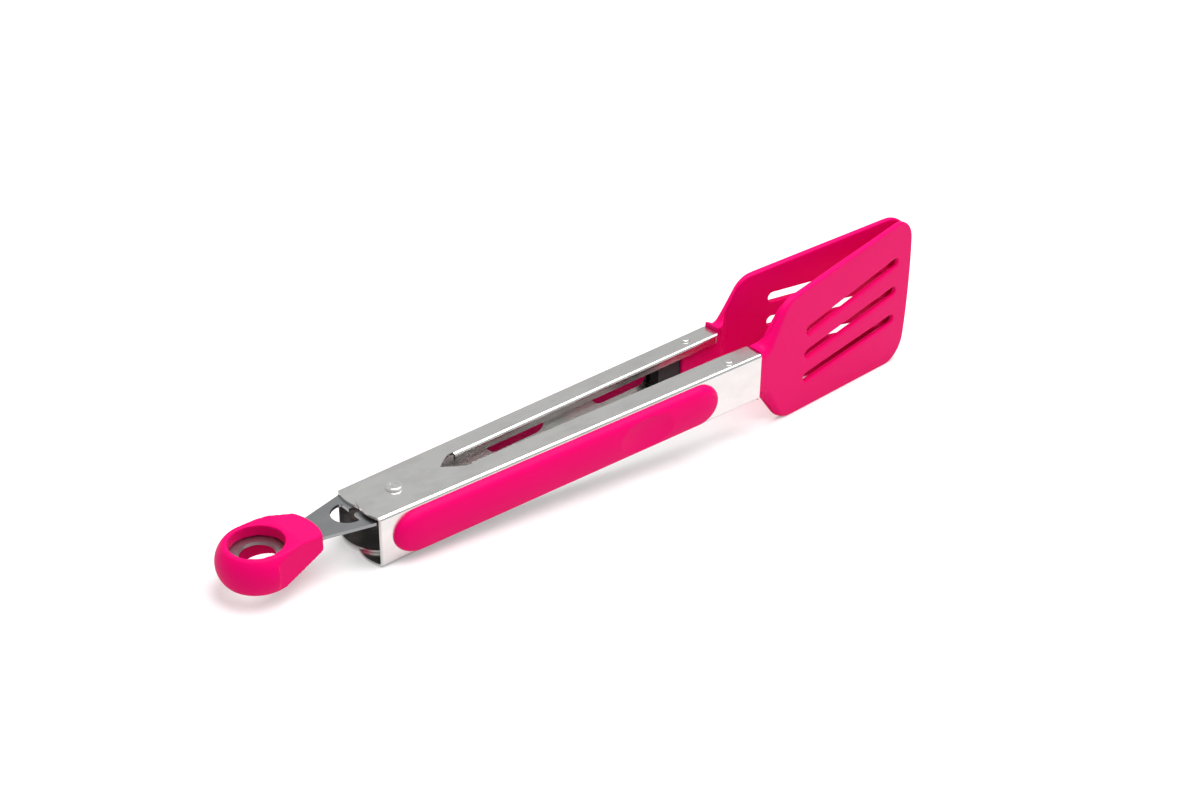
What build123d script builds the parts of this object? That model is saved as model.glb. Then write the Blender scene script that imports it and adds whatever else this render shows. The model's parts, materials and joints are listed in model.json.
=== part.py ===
from build123d import *
import math
import os

# Locking kitchen tongs with two slotted turner heads.
# All lengths are in millimetres. The tongs are drawn level, with the pivot axis on +Z through the
# origin, +X towards the heads and the outer arm on the -Y side. lay_down() then tips them onto the
# surface that they lie on: the tail of the outer arm and the lower edges of both heads touch z = 0.

# ---- channels (the two arms) ----
SHEET = 0.9                     # stainless sheet
NEST_GAP = 0.15                 # running gap between the nested flanges
OUTER_HEIGHT = 20.0             # height of the outer channel
INNER_HEIGHT = OUTER_HEIGHT - 2 * (SHEET + NEST_GAP)
WEB_FACE = 13.2                 # pivot axis to the outside of a web
TAIL = 14.5                     # pivot axis to the tail edge of a web
TAIL_REACH = 16.3               # pivot axis to the furthest point of a flange's rounded tail
ARM_END = 161.6                 # pivot axis to the head end of a channel
BEND = 1.4                      # outside radius of every bend in the sheet
LOBE_REACH = 9.8                # how far a flange reaches past the pivot to the other arm
LOBE_REAR = (-12.6, 5.0)        # where the lobe's rounded tail ends
LOBE_FLAT = (-6.5, 6.0)         # where its straight inner side begins and ends
LOBE_CORNER = 4.0
RELIEF_X = 24.2                 # foot of the lobe's slanted front edge
RELIEF_RISE = 0.6
RELIEF_END = 27.6               # where the flange reaches its full cut-back
LIP_START = 30.0                # where the turned-in lip of a flange begins
LIP_DEPTH = 3.6                 # height of that lip
OUTER_FREE_EDGE = 3.2           # middle line of the tongs to the lip of the outer channel
INNER_FREE_EDGE = 4.0           # the same for the inner channel
END_CORNER = 2.0                # rounded flange corner at the head end
SPLAY = 1.15                    # degrees that each closed arm stands out from the middle line

# ---- pivot ----
PIN_R = 1.5
RUNNING_GAP = 0.05
PIVOT_HEAD_R = 3.1
RIVET_RIM_SHARE = 0.6           # share of a rivet head's height that is rounded
PIVOT_HEAD_HEIGHT = 1.0
RING_OUT, RING_IN, RING_DEPTH = 1.7, 1.1, 0.35
SLEEVE_R = 2.5

# ---- torsion spring ----
WIRE_R = 0.7
COIL_R = 4.3
COIL_PITCH = 1.5
COIL_BOTTOM = -3.6
FULL_TURNS = 4
LEG_SLANT = 16.0                # degrees between a leg and the middle line
LEG_CLEARANCE = 0.35            # leg to the web
LEG_FLAT = 14.0                 # length of a leg that lies along the web
KNEE_R = 4.0

# ---- pull tab ----
PLATE = 1.2                     # plate thickness
PLATE_TOP = 7.9
PLATE_HALF = 11.6               # half width between the webs, which is what locks the arms
PLATE_FRONT = 8.0
EASE_START = -7.0               # behind this the plate eases in, to pass the webs as they swing
TAPER_START = -15.4             # behind this it narrows to the loop
TAPER_HALF = 11.1
NECK_HALF = 6.7                 # half width where the plate enters the loop
LOOP_FRONT = -33.0
SLOT_HALF = 1.65                # slot that runs along the pin
KEY_X = -19.2                   # centre of the wide end of the keyhole
KEY_R = 6.2
KEY_FRONT = -17.9
KEY_CORNER_R = 1.0
PLATE_CORNER_R = 3.0
TAPER_R = 1.0
PIN_PLAY = 0.15                 # pin to the end of the slot
EYE_X = -55.5                   # centre of the loop
EYE_R = 6.2                     # hole in the plate
EYE_RING_R = 12.3               # plate edge around that hole
LOOP_R = 14.2                   # widest radius of the loop's barrel-shaped end
LOOP_HOLE_R = 9.5
LOOP_TOP = 5.1                  # rim of the hole above the middle of the plate
LOOP_TOP_R = 11.2               # radius of that rim's outside
LOOP_WIDEST = -2.2              # height of the widest radius
LOOP_BOTTOM = -8.6
LOOP_BOTTOM_R = 11.6
WEDGE_HALF = 13.0               # half width of the wedge at the hole's centre
NOSE_BACK = 2.2                 # how far the nose's corners stand back from its middle
NOSE_HALF = 8.6
NOSE_RISE = 2.6                 # half thickness at the nose
NOSE_CORNER = 2.0

# ---- grips ----
GRIP_REAR = -9.7
GRIP_FRONT = 138.5
GRIP_INSET = 1.6                # steel left bare above and below a pad
GRIP_RISE = 4.0                 # crown of the pad above the web
GRIP_EDGE = 2.2                 # height of the pad's rim before rounding
GRIP_END = 10.5                 # length of each rounded end
GRIP_RIM_R = 1.76
GRIP_RIM_BAND = 0.6             # the rim's edges lie within this of its height
THUMB_X = 101.0
THUMB_DEPTH = 1.2
THUMB_HALF_LENGTH = 13.0
LUG_CENTRES = (64.0, 115.5)     # lugs that hold the pad through the web
LUG_LENGTH = 24.0
LUG_HALF = 2.4
LUG_FIT = 0.1
BARB_OVERLAP = 1.3
BARB_THICK = 1.4
LUG_INTO_BARB = 0.2

# ---- turner heads ----
HEAD_X = 161.9                  # just clear of the channel's end
COLLAR_HALF = 10.8              # half height of the neck where it covers the channel's end
COLLAR_R = 0.8
COLLAR_END = 165.2              # the neck widens from here to the shoulders
NECK_R = 3.0
SHOULDER_X = 176.5
SHOULDER_HALF = 26.4
TIP_X = 262.0
TIP_BULGE = 1.8
TIP_CORNER_R = 11.0
SHOULDER_R = 11.0
NECK_OUT = 12.9                 # outside of the neck, from the middle line of a straight arm
NECK_IN = 5.4
NECK_IN_END = 163.9             # the inside leans out from here to the blade
BLADE_ROOT_X = 170.0
BLADE_ROOT_THICK = 3.0
BLADE_TIP_THICK = 2.2
TIP_GAP = 0.4                   # between the closed heads
DRAIN_WIDTH = 4.0
DRAIN_ROOT_X = 190.6
DRAIN_TIP_X = 252.0
DRAIN_ROOT_Z = -3.0             # the middle slot slants, from below the middle line to above it
DRAIN_TIP_Z = 1.8
DRAIN_ROOT_PITCH = 10.7
DRAIN_TIP_PITCH = 13.2
STEM_GAP = 0.2                  # stem to the inside of the channel
SKIN_START = 143.0
CORE_START = 131.5
CORE_HALF = 6.4
CORE_COVER = 1.0                # silicone over the plug, outside and inside
CORE_COVER_SIDES = 1.5
CORE_PLUG_END = 160.9
CORE_BEND = 171.0               # the plug has thinned to the tongue here
CORE_FAN_X = 178.5
CORE_FAN_HALF = 14.0
CORE_END = 186.0
CORE_TONGUE = 1.2
HEAD_RIVET_X = 148.0
HEAD_RIVET_Y = 9.1
HEAD_RIVET_R = 1.2
HEAD_RIVET_HEAD_R = 1.8
HEAD_RIVET_HEAD = 0.7

FLARE = (SHOULDER_HALF - OUTER_HEIGHT / 2) / (SHOULDER_X + TAIL_REACH)
TALL = 100.0                    # more than any height here, for cutting right through
TOUCH = 0.01                    # how closely a corner is matched to its position


def prism(outline, half=TALL):
    """A vertical solid on a closed XY outline, from -half to +half."""
    return extrude(outline, amount=half, both=True)


def polygon(points):
    return make_face(Polyline(*points, close=True))


def pin_hole():
    return upright_rod(0, 0, PIN_R + RUNNING_GAP, -TALL, TALL)


def rivet_hole():
    return upright_rod(HEAD_RIVET_X, -HEAD_RIVET_Y, HEAD_RIVET_R + RUNNING_GAP, -TALL, TALL)


def upright_rod(x, y, radius, low, high):
    """A vertical cylinder between two heights."""
    return Pos(x, y, (low + high) / 2) * Cylinder(radius, high - low)


# ------------------------------------------------------------------ channels
def flange_outline(free_edge):
    """Plan of a channel: the web is its straight lower side, and a rounded lobe holds the pivot."""
    tail = (-TAIL, -WEB_FACE)
    edge = -(free_edge + BEND)
    arc = ThreePointArc(tail, (-TAIL_REACH, -LOBE_REAR[1]), LOBE_REAR)
    rest = Polyline(
        LOBE_REAR,
        (LOBE_FLAT[0], LOBE_REACH),
        (LOBE_FLAT[1], LOBE_REACH),
        (RELIEF_X, RELIEF_RISE - free_edge),
        (RELIEF_END, edge),
        (ARM_END, edge),
        (ARM_END, -WEB_FACE),
        tail,
    )
    face = make_face([arc, rest])
    lobe_corners = [v for v in face.vertices() if abs(v.Y - LOBE_REACH) < TOUCH]
    face = fillet(lobe_corners, LOBE_CORNER)
    relief = [v for v in face.vertices() if abs(v.X - RELIEF_X) < TOUCH]
    return fillet(relief, RELIEF_RISE)


def lip(half, free_edge):
    """The turned-in lip along a top flange, as a strip with a round bend."""
    centre = (-(free_edge + BEND), half - BEND)
    outer = CenterArc(centre, BEND, 0, 90)
    inner = CenterArc(centre, BEND - SHEET, 0, 90)
    foot = half - LIP_DEPTH
    sides = [
        Line(outer @ 0, (-free_edge, foot)),
        Line((-free_edge, foot), (-free_edge - SHEET, foot)),
        Line((-free_edge - SHEET, foot), inner @ 0),
        Line(inner @ 1, outer @ 1),
    ]
    profile = make_face([outer, inner] + sides)
    strip = extrude(Plane.YZ * profile, amount=ARM_END - LIP_START)
    return Pos(LIP_START, 0, 0) * strip


def channel(height, free_edge):
    """A folded sheet channel: web outside, two flanges inwards, a lip on each flange."""
    half = height / 2
    length = ARM_END + TAIL_REACH + 1
    middle_x = ARM_END - length / 2
    width = WEB_FACE + LOBE_REACH + 1
    block = Pos(middle_x, width / 2 - WEB_FACE, 0) * Box(length, width, height)
    block = fillet(block.edges().filter_by(Axis.X).group_by(Axis.Y)[0], BEND)
    room = Pos(middle_x, width / 2 - WEB_FACE + SHEET, 0) * Box(length + 2, width, height - 2 * SHEET)
    room = fillet(room.edges().filter_by(Axis.X).group_by(Axis.Y)[0], BEND - SHEET)
    folded = (block - room) & prism(flange_outline(free_edge))
    top_lip = lip(half, free_edge)
    folded = folded + top_lip + mirror(top_lip, about=Plane.XY)
    corner = Pos(ARM_END, -free_edge, 0) * Box(2 * END_CORNER, 2 * END_CORNER, TALL)
    round_corner = upright_rod(ARM_END - END_CORNER, -free_edge - END_CORNER, END_CORNER, -TALL, TALL)
    folded = folded - (corner - round_corner)
    folded = folded - pin_hole() - rivet_hole()
    for x in LUG_CENTRES:
        window = SlotOverall(LUG_LENGTH + 2 * LUG_FIT, 2 * (LUG_HALF + LUG_FIT))
        cut = extrude(Plane.XZ * window, amount=2, both=True)
        folded = folded - Pos(x, -WEB_FACE + SHEET / 2, 0) * cut
    return folded


# ------------------------------------------------------------------ grips
def grip_outline(half):
    """Side view of a pad: straight sides and two half-ellipse ends."""
    rear = Pos(GRIP_REAR + GRIP_END, 0) * Ellipse(GRIP_END, half)
    front = Pos(GRIP_FRONT - GRIP_END, 0) * Ellipse(GRIP_END, half)
    length = GRIP_FRONT - GRIP_REAR - 2 * GRIP_END
    return Pos((GRIP_REAR + GRIP_FRONT) / 2, 0) * Rectangle(length, 2 * half) + rear + front


def grip(channel_height):
    """Soft pad on the outside of a web, with a thumb hollow and two barbed lugs."""
    half = channel_height / 2 - GRIP_INSET
    pad = extrude(Plane.XZ * grip_outline(half), amount=GRIP_RISE + 1)
    fall = GRIP_RISE - GRIP_EDGE
    crown_r = (half**2 + fall**2) / (2 * fall)
    middle_x = (GRIP_REAR + GRIP_FRONT) / 2
    crown_length = GRIP_FRONT - GRIP_REAR + 2 * GRIP_END
    crown = Pos(middle_x, crown_r - GRIP_RISE, 0) * Rot(0, 90, 0) * Cylinder(crown_r, crown_length)
    pad = pad & crown
    rim = [e for e in pad.edges() if e.center().Y < -GRIP_EDGE + GRIP_RIM_BAND]
    pad = fillet(rim, GRIP_RIM_R)
    scoop_r = (THUMB_HALF_LENGTH**2 + THUMB_DEPTH**2) / (2 * THUMB_DEPTH)
    pad = pad - Pos(THUMB_X, -(GRIP_RISE - THUMB_DEPTH + scoop_r), 0) * Sphere(scoop_r)
    pad = Pos(0, -WEB_FACE, 0) * pad
    for x in LUG_CENTRES:
        lug = extrude(Plane.XZ * SlotOverall(LUG_LENGTH, 2 * LUG_HALF), amount=-SHEET - LUG_INTO_BARB)
        barb_length = LUG_LENGTH + 2 * BARB_OVERLAP
        barb = extrude(Plane.XZ * SlotOverall(barb_length, 2 * (LUG_HALF + BARB_OVERLAP)), amount=-BARB_THICK)
        pad = pad + Pos(x, -WEB_FACE, 0) * lug + Pos(x, SHEET - WEB_FACE, 0) * barb
    return pad


# ------------------------------------------------------------------ turner heads
def flare_at(x):
    """Half height of a head at x. Its lower edge runs in line with the tail of the outer arm."""
    return OUTER_HEIGHT / 2 + FLARE * (x + TAIL_REACH)


def head_outline(stem_half):
    """Side view of a head: stem, neck, shoulders and a blade that widens to its tip."""
    upper = [
        (SKIN_START, stem_half),
        (HEAD_X, stem_half),
        (HEAD_X, COLLAR_HALF),
        (COLLAR_END, COLLAR_HALF),
        (SHOULDER_X, flare_at(SHOULDER_X)),
        (TIP_X - TIP_BULGE, flare_at(TIP_X)),
    ]
    lower = [(x, -z) for x, z in reversed(upper)]
    sides = [Polyline(*upper), Polyline(*lower), Line(lower[-1], upper[0])]
    tip = ThreePointArc(upper[-1], (TIP_X, 0), lower[0])
    face = make_face(sides + [tip])

    def corners(x, z):
        return [v for v in face.vertices() if abs(v.X - x) < TOUCH and abs(abs(v.Y) - z) < TOUCH]

    face = fillet(corners(TIP_X - TIP_BULGE, flare_at(TIP_X)), TIP_CORNER_R)
    face = fillet(corners(SHOULDER_X, flare_at(SHOULDER_X)), SHOULDER_R)
    face = fillet(corners(COLLAR_END, COLLAR_HALF), NECK_R)
    return fillet(corners(HEAD_X, COLLAR_HALF), COLLAR_R)


def blade_line(tip_from_middle):
    """Distance from the straight arm's middle line that puts a tip point at this distance
    from the middle of the tongs, once the arm is splayed."""
    splay = math.radians(SPLAY)
    return (tip_from_middle - TIP_X * math.sin(splay)) / math.cos(splay)


def outer_face_at(x):
    tip = blade_line(TIP_GAP / 2 + BLADE_TIP_THICK)
    return NECK_OUT + (tip - NECK_OUT) * (x - HEAD_X) / (TIP_X - HEAD_X)


def head_section(stem_out):
    """Plan of a head: a thick stem and neck that lean in to a thin blade. It runs past the tip, which
    the outline trims."""
    root_out = outer_face_at(BLADE_ROOT_X)
    past_tip = TIP_X + 1
    points = [
        (SKIN_START, stem_out),
        (HEAD_X, stem_out),
        (HEAD_X, NECK_OUT),
        (past_tip, outer_face_at(past_tip)),
        (past_tip, blade_line(TIP_GAP / 2)),
        (TIP_X, blade_line(TIP_GAP / 2)),
        (BLADE_ROOT_X, root_out - BLADE_ROOT_THICK),
        (NECK_IN_END, NECK_IN),
        (SKIN_START, NECK_IN),
    ]
    return polygon([(x, -y) for x, y in points])


def drain_slots(way_up):
    """Three slanted slots that fan out a little towards the tip. way_up is -1 for the head that is
    fitted the other way up."""
    cuts = []
    for step in (-1, 0, 1):
        root_z = way_up * DRAIN_ROOT_Z + step * DRAIN_ROOT_PITCH
        tip_z = way_up * DRAIN_TIP_Z + step * DRAIN_TIP_PITCH
        root = Vector(DRAIN_ROOT_X + DRAIN_WIDTH / 2, root_z)
        tip = Vector(DRAIN_TIP_X - DRAIN_WIDTH / 2, tip_z)
        along = tip - root
        middle = (root + tip) * 0.5
        slot = SlotCenterToCenter(along.length, DRAIN_WIDTH)
        angle = math.degrees(math.atan2(along.Y, along.X))
        placed = Pos(middle.X, middle.Y) * Rot(0, 0, angle) * slot
        cuts.append(extrude(Plane.XZ * placed, amount=TALL, both=True))
    return cuts


def head_core(channel_height):
    """Nylon insert: a plug in the channel that thins to a fan-shaped tongue in the blade."""
    half = min(CORE_HALF, channel_height / 2 - SHEET - CORE_COVER_SIDES)
    plug_out = WEB_FACE - SHEET - CORE_COVER
    plug_in = NECK_IN + CORE_COVER

    def tongue(x):
        centre = outer_face_at(x) - BLADE_ROOT_THICK / 2
        return centre + CORE_TONGUE / 2, centre - CORE_TONGUE / 2

    bend_out, bend_in = tongue(CORE_BEND)
    end_out, end_in = tongue(CORE_END)
    plan = [
        (CORE_START, plug_out),
        (CORE_PLUG_END, plug_out),
        (CORE_BEND, bend_out),
        (CORE_END, end_out),
        (CORE_END, end_in),
        (CORE_BEND, bend_in),
        (CORE_PLUG_END, plug_in),
        (CORE_START, plug_in),
    ]
    side = [
        (CORE_START, half),
        (COLLAR_END, half),
        (CORE_FAN_X, CORE_FAN_HALF),
        (CORE_END, CORE_FAN_HALF),
    ]
    side = side + [(x, -z) for x, z in reversed(side)]
    body = prism(polygon([(x, -y) for x, y in plan]))
    body = body & extrude(Plane.XZ * polygon(side), amount=TALL, both=True)
    return body - rivet_hole()


def head_skin(channel_height, core, way_up):
    """Silicone moulded over the core: stem, neck and slotted blade."""
    stem_half = channel_height / 2 - SHEET - STEM_GAP
    stem_out = WEB_FACE - SHEET - STEM_GAP
    body = prism(head_section(stem_out))
    body = body & extrude(Plane.XZ * head_outline(stem_half), amount=TALL, both=True)
    for slot in drain_slots(way_up):
        body = body - slot
    return body - core - rivet_hole()


def domed_head(radius, height):
    """A rivet head standing on z = 0, with a rounded upper rim."""
    disc = Pos(0, 0, height / 2) * Cylinder(radius, height)
    return fillet(disc.edges().sort_by(Axis.Z)[-1:], height * RIVET_RIM_SHARE)


def rivet(shank_r, grip_half, head_r, head_height):
    """A shank with a domed head at each end, around the origin."""
    shank = Cylinder(shank_r, 2 * grip_half)
    top = Pos(0, 0, grip_half) * domed_head(head_r, head_height)
    return shank + top + mirror(top, about=Plane.XY)


def head_rivet(channel_height):
    body = rivet(HEAD_RIVET_R, channel_height / 2, HEAD_RIVET_HEAD_R, HEAD_RIVET_HEAD)
    return Pos(HEAD_RIVET_X, -HEAD_RIVET_Y, 0) * body


# ------------------------------------------------------------------ pivot
def pivot_rivet():
    """Pin through both channels, with a ring-shaped dimple in each head."""
    grip_half = OUTER_HEIGHT / 2 + RUNNING_GAP
    body = rivet(PIN_R, grip_half, PIVOT_HEAD_R, PIVOT_HEAD_HEIGHT)
    top = grip_half + PIVOT_HEAD_HEIGHT
    ring = upright_rod(0, 0, RING_OUT, top - RING_DEPTH, top + 1)
    ring = ring - upright_rod(0, 0, RING_IN, top - 1, top + 2)
    return body - ring - mirror(ring, about=Plane.XY)


def pivot_sleeve():
    """Tube on the pin that carries the spring, under the plate of the pull tab."""
    low = -(INNER_HEIGHT / 2 - SHEET - NEST_GAP)
    high = PLATE_TOP - PLATE - NEST_GAP
    tube = upright_rod(0, 0, SLEEVE_R, low, high)
    return tube - pin_hole()


def spring_leg(start, out, side):
    """Centre line of a leg: on from the coil to the web, then flat along it."""
    reach = WEB_FACE - SHEET - WIRE_R - LEG_CLEARANCE
    knee = start + out * ((reach - abs(start.Y)) / abs(out.Y))
    splay = math.radians(SPLAY)
    toe = knee + Vector(math.cos(splay), side * math.sin(splay), 0) * LEG_FLAT
    return FilletPolyline(start, knee, toe, radius=KNEE_R)


def torsion_spring():
    """Coil around the sleeve in one piece of wire, with a leg along each web."""
    turns = FULL_TURNS + 0.5 - LEG_SLANT / 180
    helix = Helix(COIL_PITCH, COIL_PITCH * turns, COIL_R, lefthand=True)
    helix = Pos(0, 0, COIL_BOTTOM) * Rot(0, 0, -(90 + LEG_SLANT)) * helix
    low_leg = spring_leg(helix @ 0, -(helix % 0), -1)
    high_leg = spring_leg(helix @ 1, helix % 1, 1)
    wire = Wire(low_leg.edges() + helix.edges() + high_leg.edges())
    section = Plane(origin=wire @ 0, z_dir=wire % 0) * Circle(WIRE_R)
    return sweep(section, path=wire, is_frenet=True)


# ------------------------------------------------------------------ pull tab
def plate_outline():
    """Plan of the steel plate: wide between the webs, tapering back to a ring."""
    upper = [
        (PLATE_FRONT, PLATE_HALF),
        (EASE_START, PLATE_HALF),
        (TAPER_START, TAPER_HALF),
        (LOOP_FRONT, NECK_HALF),
        (EYE_X, NECK_HALF),
    ]
    lower = [(x, -y) for x, y in reversed(upper)]
    blank = polygon(upper + lower) + Pos(EYE_X, 0) * Circle(EYE_RING_R)
    front = [v for v in blank.vertices() if abs(v.X - PLATE_FRONT) < TOUCH]
    blank = fillet(front, PLATE_CORNER_R)
    shoulders = [v for v in blank.vertices() if abs(v.X - TAPER_START) < TOUCH]
    blank = fillet(shoulders, TAPER_R)
    wide = Pos(KEY_X, 0) * Circle(KEY_R)
    wide = wide & Pos(KEY_FRONT - KEY_R, 0) * Rectangle(2 * KEY_R, 4 * KEY_R)
    wide = fillet(wide.vertices(), KEY_CORNER_R)
    slot_end = PIN_R + PIN_PLAY - SLOT_HALF
    slot = Pos((KEY_X + slot_end) / 2, 0) * Rectangle(slot_end - KEY_X, 2 * SLOT_HALF)
    slot = slot + Pos(slot_end, 0) * Circle(SLOT_HALF)
    return blank - (wide + slot) - Pos(EYE_X, 0) * Circle(EYE_R)


def pull_plate():
    return Pos(0, 0, PLATE_TOP - PLATE) * extrude(plate_outline(), amount=PLATE)


def barrel_half():
    """Half section of the loop's round end, from its centre outwards."""
    outside = ThreePointArc((LOOP_TOP_R, LOOP_TOP), (LOOP_R, LOOP_WIDEST), (LOOP_BOTTOM_R, LOOP_BOTTOM))
    rest = Polyline((LOOP_BOTTOM_R, LOOP_BOTTOM), (0, LOOP_BOTTOM), (0, LOOP_TOP), (LOOP_TOP_R, LOOP_TOP))
    return make_face([outside, rest])


def wedge_plan():
    """Plan of the wedge: flat sides that narrow to a bowed nose."""
    nose_x = LOOP_FRONT - NOSE_BACK
    bow = ThreePointArc((nose_x, -NOSE_HALF), (LOOP_FRONT, 0), (nose_x, NOSE_HALF))
    rest = Polyline((nose_x, NOSE_HALF), (EYE_X, WEDGE_HALF), (EYE_X, -WEDGE_HALF), (nose_x, -NOSE_HALF))
    face = make_face([bow, rest])
    return fillet([v for v in face.vertices() if abs(v.X - nose_x) < TOUCH], NOSE_CORNER)


def loop_wedge():
    """The wedge has the barrel's section at the hole and thins to the nose."""
    side = [
        (EYE_X, LOOP_TOP),
        (EYE_X + LOOP_TOP_R, LOOP_TOP),
        (LOOP_FRONT, NOSE_RISE),
        (LOOP_FRONT, -NOSE_RISE),
        (EYE_X, LOOP_BOTTOM),
    ]
    length = LOOP_FRONT - EYE_X
    section = barrel_half()
    right = Pos(EYE_X, 0, 0) * extrude(Plane.YZ * section, amount=length)
    wedge = right + mirror(right, about=Plane.XZ)
    wedge = wedge & prism(wedge_plan())
    return wedge & extrude(Plane.XZ * polygon(side), amount=TALL, both=True)


def pull_loop(plate):
    """Thick soft loop moulded around the end of the plate: a barrel with a wedge towards the arms."""
    barrel = Pos(EYE_X, 0, 0) * revolve(Plane.XZ * barrel_half(), axis=Axis.Z)
    behind = Pos(EYE_X - LOOP_R, 0, 0) * Box(2 * LOOP_R, TALL, TALL)
    body = (barrel & behind) + loop_wedge()
    body = body - Pos(EYE_X, 0, 0) * Cylinder(LOOP_HOLE_R, TALL)
    return Pos(0, 0, PLATE_TOP - PLATE / 2) * body - plate


# ------------------------------------------------------------------ assembly
def closed_arm(shape):
    """Splay a straight outer-arm piece to where it stands with the tongs closed."""
    return Rot(0, 0, -SPLAY) * shape


def other_arm(shape):
    return mirror(closed_arm(shape), about=Plane.XZ)


def level_assembly():
    """Every piece by name, with the tongs level and closed."""
    outer_core = head_core(OUTER_HEIGHT)
    inner_core = head_core(INNER_HEIGHT)
    plate = pull_plate()
    return {
        "near_arm_channel": closed_arm(channel(OUTER_HEIGHT, OUTER_FREE_EDGE)),
        "near_grip": closed_arm(grip(OUTER_HEIGHT)),
        "near_head_core": closed_arm(outer_core),
        "near_head_skin": closed_arm(head_skin(OUTER_HEIGHT, outer_core, 1)),
        "near_head_rivet": closed_arm(head_rivet(OUTER_HEIGHT)),
        "far_arm_channel": other_arm(channel(INNER_HEIGHT, INNER_FREE_EDGE)),
        "far_grip": other_arm(grip(INNER_HEIGHT)),
        "far_head_core": other_arm(inner_core),
        "far_head_skin": other_arm(head_skin(INNER_HEIGHT, inner_core, -1)),
        "far_head_rivet": other_arm(head_rivet(INNER_HEIGHT)),
        "pivot_rivet": pivot_rivet(),
        "pivot_sleeve": pivot_sleeve(),
        "torsion_spring": torsion_spring(),
        "pull_plate": plate,
        "pull_loop": pull_loop(plate),
    }


def lay_down(pieces):
    """Tip the tongs until the heads' lower edges lie flat, and put the origin under the middle."""
    tilt = math.degrees(math.atan(FLARE))
    tipped = {name: Rot(0, -tilt, 0) * shape for name, shape in pieces.items()}
    box = Compound([solid for shape in tipped.values() for solid in shape.solids()]).bounding_box()
    shift = Pos(-box.center().X, -box.center().Y, -box.min.Z)
    print("pivot at", shift.position, "size", box.size)
    return {name: shift * shape for name, shape in tipped.items()}


def main():
    os.makedirs("parts", exist_ok=True)
    for name, shape in lay_down(level_assembly()).items():
        export_step(shape, f"parts/{name}.step")


main()
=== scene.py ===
"""Locking kitchen tongs with slotted turner heads: finishes, fine meshes and a small studio around the
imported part.

Level coordinates, in millimetres, are those of the part: the pivot axis is +Z through the origin, +X runs to
the heads and the near arm is on -Y. A straight arm is drawn with its outside towards -Y and then splayed.
"""

import json
import math

import bmesh
import bpy
from bpy.props import FloatProperty, FloatVectorProperty, IntProperty, PointerProperty
from mathutils import Matrix, Vector
from mathutils.geometry import intersect_point_line, tessellate_polygon


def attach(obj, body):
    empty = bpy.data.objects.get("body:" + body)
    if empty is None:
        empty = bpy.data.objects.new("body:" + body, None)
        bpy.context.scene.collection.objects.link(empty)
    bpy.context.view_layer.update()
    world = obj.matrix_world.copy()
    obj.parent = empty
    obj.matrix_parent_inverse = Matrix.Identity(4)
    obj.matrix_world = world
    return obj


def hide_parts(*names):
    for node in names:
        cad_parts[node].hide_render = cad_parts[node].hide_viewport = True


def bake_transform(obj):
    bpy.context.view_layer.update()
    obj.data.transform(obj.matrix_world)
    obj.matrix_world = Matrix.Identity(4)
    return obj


bl_info = {
    "name": "Locking Kitchen Tongs",
    "version": (1, 0, 0),
    "blender": (4, 5, 0),
    "location": "View3D > Sidebar > Tongs",
    "description": "Finishes and fine meshes for a pair of locking tongs with turner heads",
    "category": "Object",
}

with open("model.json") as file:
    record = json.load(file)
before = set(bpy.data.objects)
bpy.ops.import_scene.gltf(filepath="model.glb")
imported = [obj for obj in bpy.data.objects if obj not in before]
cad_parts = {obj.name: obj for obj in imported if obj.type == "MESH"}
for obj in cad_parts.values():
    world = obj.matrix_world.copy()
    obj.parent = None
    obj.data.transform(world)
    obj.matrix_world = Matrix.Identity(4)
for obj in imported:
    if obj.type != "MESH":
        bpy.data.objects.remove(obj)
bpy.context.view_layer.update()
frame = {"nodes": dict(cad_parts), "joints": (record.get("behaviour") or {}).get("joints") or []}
JOINTS = {joint["name"]: joint for joint in frame["joints"]}

# ---- where the tongs lie ----
PIVOT = Vector(JOINTS["near_arm_hinge"]["pos_m"])
FORWARD = Vector(JOINTS["pull_tab_slide"]["axis"]).normalized()
TILT = math.atan2(FORWARD.z, FORWARD.x)
MM = 0.001
LEVEL = Matrix.Translation(PIVOT) @ Matrix.Rotation(-TILT, 4, "Y") @ Matrix.Scale(MM, 4)
SPLAY = math.radians(1.15)

# ---- channels ----
SHEET = 0.9
WEB_FACE = 13.2
OUTER_HEIGHT = 20.0
INNER_HEIGHT = 17.9
TAIL_REACH = 16.3

# ---- grips ----
GRIP_REAR, GRIP_FRONT, GRIP_END, GRIP_INSET = -9.7, 138.5, 10.5, 1.6
THUMB_X, THUMB_HALF_LENGTH, THUMB_WIDTH_SHARE = 101.0, 13.0, 0.78
LUG_CENTRES = (64.0, 115.5)
LUG_HALF_LENGTH, LUG_HALF_WIDTH = 12.0, 2.4
BARB_OVERLAP, BARB_THICK, BARB_ROUNDING = 1.3, 1.4, 0.35
LUG_INTO_PAD, LUG_INTO_BARB = 0.4, 0.2

# ---- turner heads ----
STEM_GAP = 0.2
STEM_START, HEAD_X, SHOULDER_X, TIP_X = 143.0, 161.9, 176.5, 262.0
TIP_BULGE, TIP_CORNER_R, SHOULDER_R = 1.8, 11.0, 11.0
SHOULDER_HALF = 26.4
ROUND_START, ROUND_END = 167.0, 188.5   # the soft neck turns into the thin edge of the blade between these
COLLAR_HALF, COLLAR_END, NECK_R = 10.8, 165.2, 3.0
NECK_OUT, NECK_IN, NECK_IN_END = 12.9, 5.4, 163.9
BLADE_ROOT_X, BLADE_ROOT_THICK, BLADE_TIP_THICK, TIP_GAP = 170.0, 3.0, 2.2, 0.4
DRAIN_HALF = 2.0
DRAIN_ROOT_X, DRAIN_TIP_X = 190.6, 252.0
DRAIN_ROOT_Z, DRAIN_TIP_Z = -3.0, 1.8
DRAIN_ROOT_PITCH, DRAIN_TIP_PITCH = 10.7, 13.2
FLARE = (SHOULDER_HALF - OUTER_HEIGHT / 2) / (SHOULDER_X + TAIL_REACH)

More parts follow.
